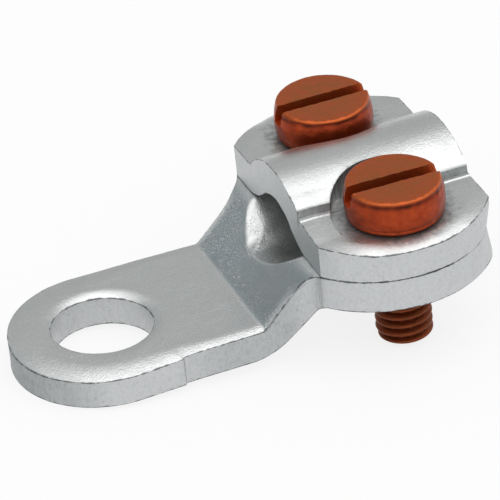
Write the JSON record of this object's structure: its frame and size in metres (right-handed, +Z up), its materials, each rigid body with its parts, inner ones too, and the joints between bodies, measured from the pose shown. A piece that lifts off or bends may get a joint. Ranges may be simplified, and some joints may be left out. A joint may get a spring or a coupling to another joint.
{
  "type": "mechanical lug",
  "caption": "Cable lug: an eye tongue for a stud, with a stepped seat and an arched plate that slotted screws clamp over a stranded conductor.",
  "frame": {"origin": "centre of the stud eye, on the underside of the tongue", "axes": "+X from the eye along the tongue to the clamp, +Y across to the rear screw, +Z up out of the tongue's top"},
  "size_m": [0.0393, 0.0256, 0.0154],
  "materials": {
    "tin_plated_copper": "pressed copper alloy with satin tin plating, slightly mottled, brighter on the rolled edges",
    "bronze": "turned and threaded bronze with a satin reddish-brown copper colour"
  },
  "bodies": {
    "lug_body": {"lug_body": "tin_plated_copper"},
    "clamp_plate": {"clamp_plate": "tin_plated_copper"},
    "screw_front": {"screw_front": "bronze"},
    "screw_rear": {"screw_rear": "bronze"}
  },
  "joints": [
    {"name": "clamp_lift", "type": "slide", "parent": "lug_body", "child": "clamp_plate", "axis": [0, 0, 1], "range_m": [0, 0.008]},
    {"name": "screw_front_turn", "type": "hinge", "parent": "clamp_plate", "child": "screw_front", "pos_m": [0.0238, -0.0073, 0.01025], "axis": [0, 0, 1], "range_deg": [0, 3600]},
    {"name": "screw_rear_turn", "type": "hinge", "parent": "clamp_plate", "child": "screw_rear", "pos_m": [0.0238, 0.0073, 0.01025], "axis": [0, 0, 1], "range_deg": [0, 3600]}
  ],
  "couplings": [
    {"joint": "screw_front_turn", "follows": "clamp_lift", "rad_per_m": 7854},
    {"joint": "screw_rear_turn", "follows": "clamp_lift", "rad_per_m": 7854}
  ]
}
